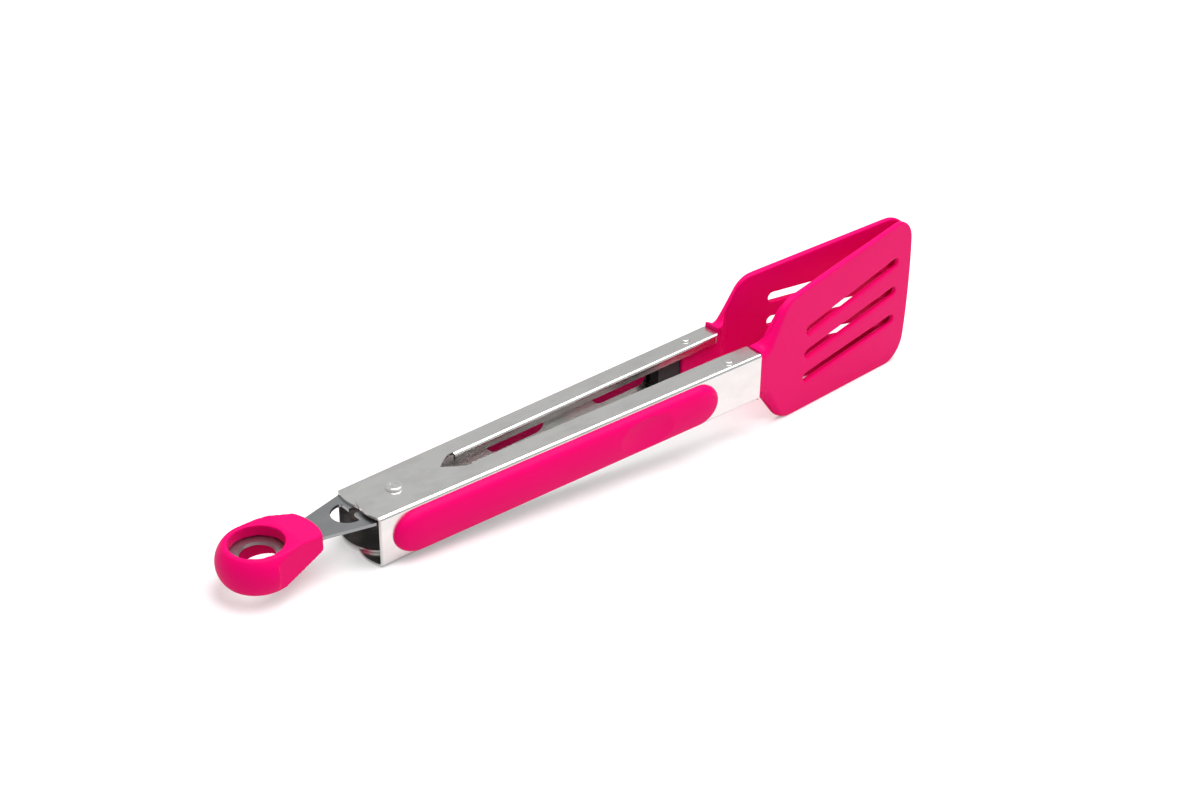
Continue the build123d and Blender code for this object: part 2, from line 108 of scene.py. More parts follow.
# ---- torsion spring ----
COIL_R, COIL_PITCH, COIL_BOTTOM = 4.3, 1.5, -3.6
LEG_SLANT = math.radians(16.0)
COIL_TURNS = 4.5 - LEG_SLANT / math.pi
LEG_FLAT, KNEE_R, LEG_CLEARANCE = 14.0, 4.0, 0.35

# ---- pull loop ----
LOOP_VOXEL = 0.35               # the loop's mesh is made even at this size before it is smoothed

# ---- finishes ----
LINE_TONE, SMUDGE_TONE = 0.80, 0.90
SILICONE_MOTTLE, SILICONE_GRAIN, SILICONE_SPECULAR = 0.014, 0.12, 0.06

# ---- studio, in metres ----
SOFTBOX_PLACE = Vector((0.1, -0.1, 0.9))
SOFTBOX_AIM = Vector((0.03, 0.0, 0.03))
SOFTBOX_SIZE = 1.0
FLOOR_REACH = 4.0
FLOOR_GLOW = 0.28               # seen by the camera only, and keeps the floor white


# ------------------------------------------------------------------ settings
class TongsShape(bpy.types.PropertyGroup):
    """Shapes that the fine meshes follow, in metres."""

    grip_rise: FloatProperty(
        name="Grip Rise", description="Height of the grip's crown above the steel",
        default=0.004, min=0.002, max=0.006, unit="LENGTH")
    grip_rim: FloatProperty(
        name="Grip Rim", description="Height that the grip's rounded rim reaches",
        default=0.0024, min=0.001, max=0.004, unit="LENGTH")
    thumb_depth: FloatProperty(
        name="Thumb Hollow", description="Depth of the thumb hollow",
        default=0.0013, min=0.0, max=0.003, unit="LENGTH")
    blade_edge: FloatProperty(
        name="Blade Edge", description="Radius of the rounded edges of a turner blade",
        default=0.0008, min=0.0002, max=0.001, unit="LENGTH")
    neck_edge: FloatProperty(
        name="Neck Edge", description="Radius of the rounded edges at a turner head's neck",
        default=0.0042, min=0.0002, max=0.005, unit="LENGTH")
    loop_softness: IntProperty(
        name="Loop Softness", description="Smoothing passes over the pull loop's edges",
        default=8, min=0, max=30)
    wire_radius: FloatProperty(
        name="Spring Wire", description="Radius of the spring's wire",
        default=0.0007, min=0.0004, max=0.0009, unit="LENGTH")
    wire_sides: IntProperty(
        name="Wire Sides", description="Number of faces round the spring's wire",
        default=16, min=6, max=32)


class TongsFinish(bpy.types.PropertyGroup):
    """Colours and finishes."""

    silicone: FloatVectorProperty(
        name="Silicone", description="Colour of the grips, heads and loop",
        default=(0.84, 0.0, 0.140), min=0, max=1, size=3, subtype="COLOR")
    silicone_deep: FloatVectorProperty(
        name="Silicone Deep", description="Darker tone in the silicone's mottle",
        default=(0.78, 0.0, 0.132), min=0, max=1, size=3, subtype="COLOR")
    silicone_roughness: FloatProperty(
        name="Silicone Roughness", description="How dull the silicone is",
        default=0.42, min=0, max=1, subtype="FACTOR")
    steel: FloatVectorProperty(
        name="Steel", description="Colour of the brushed stainless sheet",
        default=(0.86, 0.855, 0.835), min=0, max=1, size=3, subtype="COLOR")
    steel_roughness: FloatProperty(
        name="Steel Roughness", description="How dull the brushed sheet is",
        default=0.27, min=0, max=1, subtype="FACTOR")
    plate_steel: FloatVectorProperty(
        name="Plate Steel", description="Colour of the pull tab's plate",
        default=(0.36, 0.37, 0.38), min=0, max=1, size=3, subtype="COLOR")
    rivet_steel: FloatVectorProperty(
        name="Rivet Steel", description="Colour of the formed rivets",
        default=(0.92, 0.915, 0.90), min=0, max=1, size=3, subtype="COLOR")
    nylon: FloatVectorProperty(
        name="Nylon", description="Colour of the inserts inside the heads",
        default=(0.012, 0.012, 0.013), min=0, max=1, size=3, subtype="COLOR")


class TongsStudio(bpy.types.PropertyGroup):
    """Camera, lights and floor."""

    lens: FloatProperty(
        name="Lens", description="Focal length on a 36 mm wide sensor, in millimetres",
        default=61.8, min=20, max=200)
    distance: FloatProperty(
        name="Distance", description="Camera to the point it looks at",
        default=0.77826, min=0.2, max=3, unit="LENGTH")
    yaw: FloatProperty(
        name="Yaw", description="Direction that the camera looks in, from +X towards +Y",
        default=math.radians(46.71), subtype="ANGLE")
    pitch: FloatProperty(
        name="Pitch", description="How far the camera looks down",
        default=math.radians(28.07), subtype="ANGLE")
    roll: FloatProperty(
        name="Roll", description="How far the camera is rolled",
        default=math.radians(4.88), subtype="ANGLE")
    target: FloatVectorProperty(
        name="Target", description="Point that the camera looks at, from the pivot",
        default=(0.10277, 0.01083, 0.00854), size=3, subtype="TRANSLATION", unit="LENGTH")
    overhead: FloatProperty(
        name="Overhead", description="Power of the large soft light above",
        default=12.5, min=0, unit="POWER")
    fill: FloatProperty(
        name="Fill", description="Brightness of the white room",
        default=0.5, min=0)
    floor_tone: FloatProperty(
        name="Floor Tone", description="How pale the floor is",
        default=0.72, min=0, max=1, subtype="FACTOR")


# ------------------------------------------------------------------ materials
def add_node(tree, kind, **inputs):
    """A node of this kind with its plain input values set. Underscores in a name stand for spaces."""
    node = tree.nodes.new(kind)
    for name, value in inputs.items():
        node.inputs[name.replace("_", " ")].default_value = value
    return node


def level_mapping(tree, stretch):
    """Texture coordinates in the level frame, in units of stretch (metres along X, Y and Z)."""
    place = tree.nodes.new("ShaderNodeTexCoord")
    mapping = tree.nodes.new("ShaderNodeMapping")
    mapping.vector_type = "TEXTURE"
    mapping.inputs["Location"].default_value = PIVOT
    mapping.inputs["Rotation"].default_value = (0, -TILT, 0)
    mapping.inputs["Scale"].default_value = stretch
    tree.links.new(place.outputs["Object"], mapping.inputs["Vector"])
    return mapping


def new_group(name, inputs, outputs):
    """An empty shader node group with float inputs (name, default) and outputs (name, socket type)."""
    group = bpy.data.node_groups.new(name, "ShaderNodeTree")
    for label, default in inputs:
        socket = group.interface.new_socket(label, in_out="INPUT", socket_type="NodeSocketFloat")
        socket.default_value = default
    for label, kind in outputs:
        group.interface.new_socket(label, in_out="OUTPUT", socket_type=kind)
    return group, group.nodes.new("NodeGroupInput"), group.nodes.new("NodeGroupOutput")


def brushed_grain():
    """Lengthwise brush lines and faint handling marks on sheet steel."""
    group, given, result = new_group(
        "Brushed Grain",
        [("Line Strength", 0.5), ("Bump Depth", 0.1)],
        [("Tone", "NodeSocketFloat"), ("Smudge", "NodeSocketFloat"), ("Normal", "NodeSocketVector")],
    )
    link = group.links.new
    lines = add_node(group, "ShaderNodeTexNoise", Scale=1.0, Detail=6.0, Roughness=0.72)
    link(level_mapping(group, (0.06, 0.0005, 0.0005)).outputs[0], lines.inputs["Vector"])
    clouds = add_node(group, "ShaderNodeTexNoise", Scale=1.0, Detail=4.0, Roughness=0.6)
    link(level_mapping(group, (0.016, 0.009, 0.009)).outputs[0], clouds.inputs["Vector"])
    contrast = group.nodes.new("ShaderNodeMapRange")
    contrast.inputs["From Min"].default_value = 0.3
    contrast.inputs["From Max"].default_value = 0.7
    link(lines.outputs["Fac"], contrast.inputs["Value"])
    scaled = group.nodes.new("ShaderNodeMath")
    scaled.operation = "MULTIPLY"
    link(contrast.outputs[0], scaled.inputs[0])
    link(given.outputs["Line Strength"], scaled.inputs[1])
    smudge = group.nodes.new("ShaderNodeMapRange")
    smudge.inputs["From Min"].default_value = 0.42
    smudge.inputs["From Max"].default_value = 0.68
    link(clouds.outputs["Fac"], smudge.inputs["Value"])
    bump = add_node(group, "ShaderNodeBump", Distance=0.00012)
    link(given.outputs["Bump Depth"], bump.inputs["Strength"])
    link(lines.outputs["Fac"], bump.inputs["Height"])
    link(scaled.outputs[0], result.inputs["Tone"])
    link(smudge.outputs[0], result.inputs["Smudge"])
    link(bump.outputs[0], result.inputs["Normal"])
    return group


def moulded_skin():
    """Soft mottle and a fine matt grain on moulded silicone or nylon."""
    group, given, result = new_group(
        "Moulded Skin",
        [("Mottle Size", 0.012), ("Grain Depth", 0.1)],
        [("Mottle", "NodeSocketFloat"), ("Grain", "NodeSocketFloat"), ("Normal", "NodeSocketVector")],
    )
    link = group.links.new
    place = group.nodes.new("ShaderNodeTexCoord")
    size = group.nodes.new("ShaderNodeMath")
    size.operation = "DIVIDE"
    size.inputs[0].default_value = 1.0
    link(given.outputs["Mottle Size"], size.inputs[1])
    mottle = add_node(group, "ShaderNodeTexNoise", Detail=3.0, Roughness=0.55)
    link(place.outputs["Object"], mottle.inputs["Vector"])
    link(size.outputs[0], mottle.inputs["Scale"])
    grain = add_node(group, "ShaderNodeTexNoise", Scale=1800.0, Detail=3.0, Roughness=0.6)
    link(place.outputs["Object"], grain.inputs["Vector"])
    bump = add_node(group, "ShaderNodeBump", Distance=0.0001)
    link(given.outputs["Grain Depth"], bump.inputs["Strength"])
    link(grain.outputs["Fac"], bump.inputs["Height"])
    link(mottle.outputs["Fac"], result.inputs["Mottle"])
    link(grain.outputs["Fac"], result.inputs["Grain"])
    link(bump.outputs[0], result.inputs["Normal"])
    return group


def shared_group(name, build):
    return bpy.data.node_groups.get(name) or build()


def new_material(name):
    """A material with only a Principled BSDF, and its node tree."""
    material = bpy.data.materials.new(name)
    material.use_nodes = True
    tree = material.node_tree
    tree.nodes.clear()
    shader = tree.nodes.new("ShaderNodeBsdfPrincipled")
    output = tree.nodes.new("ShaderNodeOutputMaterial")
    tree.links.new(shader.outputs[0], output.inputs["Surface"])
    return material, tree, shader


def mixed_colour(tree, factor, first, second):
    """Colour socket that runs from first to second by a factor socket."""
    mix = tree.nodes.new("ShaderNodeMix")
    mix.data_type = "RGBA"
    tree.links.new(factor, mix.inputs["Factor"])
    mix.inputs["A"].default_value = (*first, 1)
    mix.inputs["B"].default_value = (*second, 1)
    return mix.outputs["Result"]


def varied(tree, value, low, high):
    """Value socket that carries 0..1 onto low..high."""
    spread = tree.nodes.new("ShaderNodeMapRange")
    spread.inputs["To Min"].default_value = low
    spread.inputs["To Max"].default_value = high
    tree.links.new(value, spread.inputs["Value"])
    return spread.outputs[0]


def steel_finish(name, colour, roughness, line_strength, bump_depth):
    """Brushed steel: brush lines in the tone and roughness, and faint smudges."""
    material, tree, shader = new_material(name)
    grain = tree.nodes.new("ShaderNodeGroup")
    grain.node_tree = shared_group("Brushed Grain", brushed_grain)
    grain.inputs["Line Strength"].default_value = line_strength
    grain.inputs["Bump Depth"].default_value = bump_depth
    brushed = mixed_colour(tree, grain.outputs["Tone"], colour, [c * LINE_TONE for c in colour])
    marks = tree.nodes.new("ShaderNodeMix")
    marks.data_type = "RGBA"
    marks.blend_type = "MULTIPLY"
    marks.inputs["Factor"].default_value = 1.0
    tree.links.new(brushed, marks.inputs["A"])
    tree.links.new(
        mixed_colour(tree, grain.outputs["Smudge"], (1, 1, 1), (SMUDGE_TONE,) * 3), marks.inputs["B"])
    tree.links.new(marks.outputs["Result"], shader.inputs["Base Color"])
    tree.links.new(
        varied(tree, grain.outputs["Tone"], roughness - 0.06, roughness + 0.12), shader.inputs["Roughness"])
    tree.links.new(grain.outputs["Normal"], shader.inputs["Normal"])
    shader.inputs["Metallic"].default_value = 1.0
    return material


def moulded_finish(name, colour, deep, roughness, mottle_size, grain_depth, specular=0.5):
    """Moulded silicone or nylon: a slow mottle in colour and a fine matt grain."""
    material, tree, shader = new_material(name)
    skin = tree.nodes.new("ShaderNodeGroup")
    skin.node_tree = shared_group("Moulded Skin", moulded_skin)
    skin.inputs["Mottle Size"].default_value = mottle_size
    skin.inputs["Grain Depth"].default_value = grain_depth
    tree.links.new(mixed_colour(tree, skin.outputs["Mottle"], colour, deep), shader.inputs["Base Color"])
    tree.links.new(
        varied(tree, skin.outputs["Grain"], roughness - 0.05, roughness + 0.07), shader.inputs["Roughness"])
    tree.links.new(skin.outputs["Normal"], shader.inputs["Normal"])
    shader.inputs["Specular IOR Level"].default_value = specular
    return material


def silicone_finish(name):
    finish = bpy.context.scene.tongs_finish
    return moulded_finish(
        name, finish.silicone, finish.silicone_deep, finish.silicone_roughness,
        SILICONE_MOTTLE, SILICONE_GRAIN, SILICONE_SPECULAR)


def dress(node, material):
    """Gives a CAD node that stays its finish."""
    mesh = frame["nodes"][node].data
    mesh.materials.clear()
    mesh.materials.append(material)


# ------------------------------------------------------------------ mesh helpers
def arm_place(side):
    """Matrix that takes a straight arm piece in millimetres to where it stands, closed."""
    flip = Matrix.Scale(-1, 4, (0, 1, 0)) if side == "far" else Matrix.Identity(4)
    return LEVEL @ flip @ Matrix.Rotation(-SPLAY, 4, "Z")


def add_piece(name, bm, place, material, sharp=math.radians(40), flat_faces=False):
    """A finished object from a bmesh drawn in millimetres, smooth except over sharp edges."""
    bm.transform(place)
    bmesh.ops.recalc_face_normals(bm, faces=bm.faces[:])
    mesh = bpy.data.meshes.new(name)
    bm.to_mesh(mesh)
    bm.free()
    mesh.shade_smooth()
    mesh.set_sharp_from_angle(angle=sharp)
    mesh.materials.append(material)
    piece = bpy.data.objects.new(name, mesh)
    bpy.context.scene.collection.objects.link(piece)
    if flat_faces:
        weighted = piece.modifiers.new("even_faces", "WEIGHTED_NORMAL")
        weighted.keep_sharp = True
    return piece


def bridge_rings(bm, rings, closed=True):
    """Quads between neighbouring rings of vertices."""
    for first, second in zip(rings, rings[1:]):
        count = len(first)
        for i in range(count if closed else count - 1):
            j = (i + 1) % count
            bm.faces.new((first[i], first[j], second[j], second[i]))


def rounded_outline(corners, step=math.radians(8)):
    """Closed outline through (x, z, radius) corners, with an arc wherever the radius isn't 0."""
    points = []
    for i, (x, z, radius) in enumerate(corners):
        here = Vector((x, z))
        if not radius:
            points.append(here)
            continue
        back = (Vector(corners[i - 1][:2]) - here).normalized()
        on = (Vector(corners[(i + 1) % len(corners)][:2]) - here).normalized()
        half = back.angle(on) / 2
        centre = here + (back + on).normalized() * (radius / math.sin(half))
        start = here + back * (radius / math.tan(half)) - centre
        end = here + on * (radius / math.tan(half)) - centre
        sweep = math.atan2(start.x * end.y - start.y * end.x, start.dot(end))
        steps = max(3, math.ceil(abs(sweep) / step))
        for k in range(steps + 1):
            turn = Matrix.Rotation(sweep * k / steps, 2)
            points.append(centre + turn @ start)
    return points


def slot_outline(start, end, half, steps=9):
    """Closed outline of a slot with round ends, around two points."""
    along = (end - start).normalized()
    side = Vector((-along.y, along.x))
    points = []
    for centre, forward in ((end, along), (start, -along)):
        across = side if forward is along else -side
        for k in range(steps + 1):
            angle = math.pi * k / steps
            points.append(centre - across * math.cos(angle) * half + forward * math.sin(angle) * half)
    return points


def signed_area(points):
    return sum(a.x * b.y - b.x * a.y for a, b in zip(points, points[1:] + points[:1])) / 2


def wound(points, anticlockwise):
    return points if (signed_area(points) > 0) == anticlockwise else points[::-1]


def inset(points, distance):
    """Outline moved to its left by distance, corners mitred."""
    moved = []
    for i, here in enumerate(points):
        before = (here - points[i - 1]).normalized()
        after = (points[(i + 1) % len(points)] - here).normalized()
        left = Vector((-before.y, before.x)), Vector((-after.y, after.x))
        moved.append(here + (left[0] + left[1]) * (distance / (1 + left[0].dot(left[1]))))
    return moved


def slab(bm, outlines, half, edge, flat_rings=(), edge_steps=4):
    """Flat plate in XZ with rounded edges, from -half to +half in Y. The first outline is its outside and
    the others are holes. The outside gets flat rings of vertices at these distances in from its edge."""
    flat = [(edge + further, half) for further in flat_rings]
    rounded = []
    for k in range(edge_steps + 1):
        angle = math.pi / 2 * k / edge_steps
        rounded.append((edge * (1 - math.sin(angle)), half - edge * (1 - math.cos(angle))))
    faces = {-1: [], 1: []}
    for index, outline in enumerate(outlines):
        outside = index == 0
        points = wound(outline, outside)
        profile = flat + rounded if outside else rounded
        rings = [(inset(points, shrink), -y) for shrink, y in profile]
        rings += [(inset(points, shrink), y) for shrink, y in reversed(profile)]
        built = [[bm.verts.new((p.x, y, p.y)) for p in ring] for ring, y in rings]
        bridge_rings(bm, built)
        faces[-1].append(built[0])
        faces[1].append(built[-1])
    for rings in faces.values():
        verts = [v for ring in rings for v in ring]
        borders = [[Vector((v.co.x, v.co.z, 0)) for v in ring] for ring in rings]
        for triangle in tessellate_polygon(borders):
            bm.faces.new([verts[i] for i in triangle])


def cut_across(bm, stations):
    """Adds edges across a mesh at these X stations, so that it can bend there."""
    for x in stations:
        everything = bm.verts[:] + bm.edges[:] + bm.faces[:]
        bmesh.ops.bisect_plane(bm, geom=everything, dist=1e-5, plane_co=(x, 0, 0), plane_no=(1, 0, 0))


def tube(bm, points, radius, sides):
    """Closed round wire along a line of points, without twist."""
    tangents = []
    for i in range(len(points)):
        ahead, behind = points[min(i + 1, len(points) - 1)], points[max(i - 1, 0)]
        tangents.append((ahead - behind).normalized())
    normal = tangents[0].orthogonal().normalized()
    rings = []
    for i, (point, tangent) in enumerate(zip(points, tangents)):
        if i:
            normal = tangents[i - 1].rotation_difference(tangent) @ normal
        across = tangent.cross(normal)
        ring = []
        for k in range(sides):
            angle = 2 * math.pi * k / sides
            offset = (normal * math.cos(angle) + across * math.sin(angle)) * radius
            ring.append(bm.verts.new(point + offset))
        rings.append(ring)
    bridge_rings(bm, rings)
    bm.faces.new(rings[0])
    bm.faces.new(rings[-1])


def eased(x, start, end):
    t = min(1.0, max(0.0, (x - start) / (end - start)))
    return t * t * (3 - 2 * t)


# ------------------------------------------------------------------ grips
def grip_stations():
    """Lengthwise stations of a grip, (x, share of its full half width), close together at the ends."""
    end_steps, middle_steps = 18, 150
    rear, front = GRIP_REAR + GRIP_END, GRIP_FRONT - GRIP_END
    stations = []
    for k in range(end_steps):
        angle = math.pi / 2 * (1 - k / end_steps)
        stations.append((rear - GRIP_END * math.sin(angle), math.cos(angle)))
    for k in range(middle_steps + 1):
        stations.append((rear + (front - rear) * k / middle_steps, 1.0))
    for k in range(1, end_steps + 1):
        angle = math.pi / 2 * k / end_steps
        stations.append((front + GRIP_END * math.sin(angle), math.cos(angle)))
    return stations


def grip_height(x, z, half, rise, rim, hollow):
    """Height of a grip above the web: a rounded rim, a low crown and the thumb hollow."""
    past = max(GRIP_REAR + GRIP_END - x, x - (GRIP_FRONT - GRIP_END), 0) / GRIP_END
    reach = min(1.0, math.hypot(past, z / half))
    inward = min(1.0, (1 - reach) * half / rim)
    height = rim * math.sqrt(max(0.0, 1 - (1 - inward) ** 2)) + (rise - rim) * (1 - reach**2)
    spread = ((x - THUMB_X) / THUMB_HALF_LENGTH) ** 2 + (z / (THUMB_WIDTH_SHARE * half)) ** 2
    if spread < 1:
        height -= hollow * (1 - spread) * eased(1 - spread, 0, 0.12)
    return height


def grip_mesh(half, rise, rim, hollow):
    """A domed pad on the web, with two barbed lugs through it."""
    bm = bmesh.new()
    across_steps = 44
    columns = []
    for x, width in grip_stations():
        column = []
        for k in range(across_steps + 1):
            share = math.sin(math.pi * (k / across_steps - 0.5))
            z = share * half * width
            column.append((x, -WEB_FACE - grip_height(x, z, half, rise, rim, hollow), z))
        columns.append(column)
    inner = [[bm.verts.new(p) for p in column] for column in columns[1:-1]]
    bridge_rings(bm, inner, closed=False)
    for first, second in zip(inner, inner[1:]):
        bm.faces.new((first[0], first[-1], second[-1], second[0]))
    for pole, column in ((columns[0], inner[0]), (columns[-1], inner[-1])):
        tip = bm.verts.new((pole[0][0], -WEB_FACE, 0))
        for first, second in zip(column, column[1:] + column[:1]):
            bm.faces.new((tip, first, second))
    for x in LUG_CENTRES:
        lug_prism(bm, x, 0, -LUG_INTO_PAD, SHEET + LUG_INTO_BARB)
        lug_prism(bm, x, BARB_OVERLAP, SHEET, SHEET + BARB_THICK, BARB_ROUNDING)
    return bm


def lug_prism(bm, x, grow, low, high, rounding=0.0):
    """A slot-shaped block through or behind the web, between two depths from the web's outside."""
    ends = LUG_HALF_LENGTH - LUG_HALF_WIDTH
    outline = slot_outline(Vector((x - ends, 0)), Vector((x + ends, 0)), LUG_HALF_WIDTH + grow)
    outline = wound(outline, True)
    levels = [(0, low), (0, high - rounding)]
    if rounding:
        levels += [(rounding * 0.3, high - rounding * 0.3), (rounding, high)]
    rings = []
    for shrink, depth in levels:
        rings.append([bm.verts.new((p.x, depth - WEB_FACE, p.y)) for p in inset(outline, shrink)])
    bridge_rings(bm, rings)
    bm.faces.new(rings[0])
    bm.faces.new(rings[-1])


class TONGS_OT_grips(bpy.types.Operator):
    """Build both domed grips with their thumb hollows"""

    bl_idname = "tongs.grips"
    bl_label = "Grips"

    def execute(self, context):
        shape = context.scene.tongs_shape
        silicone = silicone_finish("Grip Silicone")
        for side, height in (("near", OUTER_HEIGHT), ("far", INNER_HEIGHT)):
            half = height / 2 - GRIP_INSET
            bm = grip_mesh(half, shape.grip_rise / MM, shape.grip_rim / MM, shape.thumb_depth / MM)
            grip = add_piece(f"{side}_grip_pad", bm, arm_place(side), silicone)
            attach(grip, f"{side}_arm")
            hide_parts(f"{side}_grip")
        return {"FINISHED"}


# ------------------------------------------------------------------ turner heads
def flare_at(x):
    return OUTER_HEIGHT / 2 + FLARE * (x + TAIL_REACH)


def head_outline(stem_half):
    """Side view of a head: stem, neck, shoulders and a widening blade with a slightly bowed tip."""
    tip_half = flare_at(TIP_X)
    side = [
        (STEM_START, stem_half, 0),
        (HEAD_X, stem_half, 0),
        (HEAD_X, COLLAR_HALF, 0),
        (COLLAR_END, COLLAR_HALF, NECK_R),
        (SHOULDER_X, flare_at(SHOULDER_X), SHOULDER_R),
        (TIP_X - TIP_BULGE, tip_half, TIP_CORNER_R),
    ]
    bow = []
    for share in (0.5, 0.3, 0.1):
        bow.append((TIP_X - TIP_BULGE * share**2, tip_half * share, 0))
    half = side + bow
    return rounded_outline(half + [(x, -z, radius) for x, z, radius in reversed(half)])


def drain_outlines(way_up):
    """Three slanted slots. way_up is -1 for the head that is fitted the other way up."""
    outlines = []
    for step in (-1, 0, 1):
        root = Vector((DRAIN_ROOT_X + DRAIN_HALF, way_up * DRAIN_ROOT_Z + step * DRAIN_ROOT_PITCH))
        tip = Vector((DRAIN_TIP_X - DRAIN_HALF, way_up * DRAIN_TIP_Z + step * DRAIN_TIP_PITCH))
        outlines.append(slot_outline(root, tip, DRAIN_HALF))
    return outlines


def blade_line(tip_from_middle):
    """Distance from a straight arm's middle line that puts a tip point at this distance from the
    middle of the tongs."""
    return (tip_from_middle - TIP_X * math.sin(SPLAY)) / math.cos(SPLAY)


def outer_face(x, stem_out):
    if x < HEAD_X - 0.01:
        return stem_out
    tip = blade_line(TIP_GAP / 2 + BLADE_TIP_THICK)
    return NECK_OUT + (tip - NECK_OUT) * (x - HEAD_X) / (TIP_X - HEAD_X)


def inner_face(x, stem_out):
    root = outer_face(BLADE_ROOT_X, stem_out) - BLADE_ROOT_THICK
    if x < BLADE_ROOT_X:
        return NECK_IN + (root - NECK_IN) * eased(x, NECK_IN_END, BLADE_ROOT_X)
    tip = blade_line(TIP_GAP / 2)
    return root + (tip - root) * (x - BLADE_ROOT_X) / (TIP_X - BLADE_ROOT_X)


def shoulder_fall(x, z, outline, radius):
    """How far a head's outside falls away near the edges of its neck and shoulders."""
    radius *= 1 - eased(x, ROUND_START, ROUND_END)
    if x < HEAD_X - 0.01 or radius <= 0:
        return 0.0
    here = Vector((x, z))
    inward = radius
    for start, end in outline:
        foot, share = intersect_point_line(here, start, end)
        foot = start if share < 0 else end if share > 1 else foot
        inward = min(inward, (here - foot).length)
    return radius - math.sqrt(radius**2 - (radius - inward) ** 2)


def head_mesh(channel_height, way_up, blade_edge, neck_edge):
    """A slotted turner head: a flat slab bent onto the leaning, tapering section."""
    stem_half = channel_height / 2 - SHEET - STEM_GAP
    stem_out = WEB_FACE - SHEET - STEM_GAP
    slab_half = 5.0
    shoulder_rings = (3.4, 2.8, 2.2, 1.6, 1.1, 0.6, 0.3)
    just_before_head = HEAD_X - 0.05
    outline = head_outline(stem_half)
    bm = bmesh.new()
    slab(bm, [outline] + drain_outlines(way_up), slab_half, blade_edge, shoulder_rings)
    neck = [HEAD_X + 0.5 + 1.5 * k for k in range(11)]
    blade = [BLADE_ROOT_X + 3 + 6 * k for k in range(14)]
    cut_across(bm, [just_before_head, HEAD_X] + neck + [BLADE_ROOT_X] + blade)
    sides = []
    for start, end in zip(outline, outline[1:] + outline[:1]):
        if min(start.x, end.x) >= HEAD_X and max(start.x, end.x) > HEAD_X and start.y * end.y > 0:
            sides.append((start, end))
    for vert in bm.verts:
        x, y, z = vert.co
        if y < 0:
            fall = max(slab_half + y, shoulder_fall(x, z, sides, neck_edge))
            vert.co.y = -outer_face(x, stem_out) + fall
        else:
            vert.co.y = -inner_face(x, stem_out) - (slab_half - y)
    return bm


class TONGS_OT_heads(bpy.types.Operator):
    """Build both slotted turner heads with rounded edges"""

    bl_idname = "tongs.heads"
    bl_label = "Turner Heads"

    def execute(self, context):
        shape = context.scene.tongs_shape
        silicone = silicone_finish("Head Silicone")
        for side, height, way_up in (("near", OUTER_HEIGHT, 1), ("far", INNER_HEIGHT, -1)):
            bm = head_mesh(height, way_up, shape.blade_edge / MM, shape.neck_edge / MM)
            head = add_piece(f"{side}_turner_head", bm, arm_place(side), silicone, flat_faces=True)
            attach(head, f"{side}_arm")
            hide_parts(f"{side}_head_skin")
        return {"FINISHED"}


# ------------------------------------------------------------------ torsion spring
def coil_point(turn):
    """Centre of the wire after this many turns from the coil's foot, which winds clockwise from above."""
    angle = -(math.pi / 2 + LEG_SLANT) - 2 * math.pi * turn
    return Vector((COIL_R * math.cos(angle), COIL_R * math.sin(angle), COIL_BOTTOM + COIL_PITCH * turn))


def leg_points(turn, side, wire_radius):
    """Centre line of a leg: straight on from the coil, round a knee, and flat along the web."""
    nudge = 1e-4 if side > 0 else -1e-4
    start = coil_point(turn)
    out = (coil_point(turn + nudge) - start).normalized()
    reach = WEB_FACE - SHEET - wire_radius - LEG_CLEARANCE
    knee = start + out * ((reach - abs(start.y)) / abs(out.y))
    flat = Vector((math.cos(SPLAY), side * math.sin(SPLAY), 0))
    half = (-out).angle(flat) / 2
    cut = KNEE_R / math.tan(half)
    points = [start + (knee - out * cut - start) * k / 8 for k in range(9)]
    begin, end = knee - out * cut, knee + flat * cut
    for k in range(1, 8):
        t = k / 8
        points.append(begin * (1 - t) ** 2 + knee * (2 * t * (1 - t)) + end * t**2)
    points += [end + flat * (LEG_FLAT - cut) * k / 4 for k in range(5)]
    return points


class TONGS_OT_spring(bpy.types.Operator):
    """Build the torsion spring: a coil on the pivot and a leg that runs along each arm"""

    bl_idname = "tongs.spring"
    bl_label = "Torsion Spring"

    def execute(self, context):
        shape, finish = context.scene.tongs_shape, context.scene.tongs_finish
        radius = shape.wire_radius / MM
        wire = steel_finish(
            "Spring Wire", finish.plate_steel, roughness=0.3, line_strength=0.4, bump_depth=0.1)
        bm = bmesh.new()
        steps = int(COIL_TURNS * 40)
        tube(bm, [coil_point(COIL_TURNS * k / steps) for k in range(steps + 1)], radius, shape.wire_sides)
        coil = add_piece("spring_coil", bm, LEVEL, wire)
        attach(coil, "pivot")
        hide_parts("torsion_spring")
        for side, turn, sign in (("near", 0, -1), ("far", COIL_TURNS, 1)):
            points = leg_points(turn, sign, radius)
            bm = bmesh.new()
            tube(bm, points, radius, shape.wire_sides)
            leg = add_piece(f"spring_leg_{side}", bm, LEVEL, wire)
            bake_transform(leg)
        return {"FINISHED"}


# ------------------------------------------------------------------ parts that keep their CAD shape
class TONGS_OT_steel(bpy.types.Operator):
    """Finish the channels, the pull plate and the rivets in stainless steel"""

    bl_idname = "tongs.steel"
    bl_label = "Steel Parts"

    def execute(self, context):
        finish = context.scene.tongs_finish
        sheet = steel_finish(
            "Brushed Sheet", finish.steel, finish.steel_roughness, line_strength=0.28, bump_depth=0.06)
        plate = steel_finish(
            "Satin Plate", finish.plate_steel, roughness=0.34, line_strength=0.35, bump_depth=0.08)
        bright = steel_finish(
            "Formed Rivet", finish.rivet_steel, roughness=0.26, line_strength=0.25, bump_depth=0.05)
        for node in ("near_arm_channel", "far_arm_channel"):
            dress(node, sheet)
        dress("pull_plate", plate)
        for node in ("pivot_rivet", "near_head_rivet", "far_head_rivet"):
            dress(node, bright)
        return {"FINISHED"}


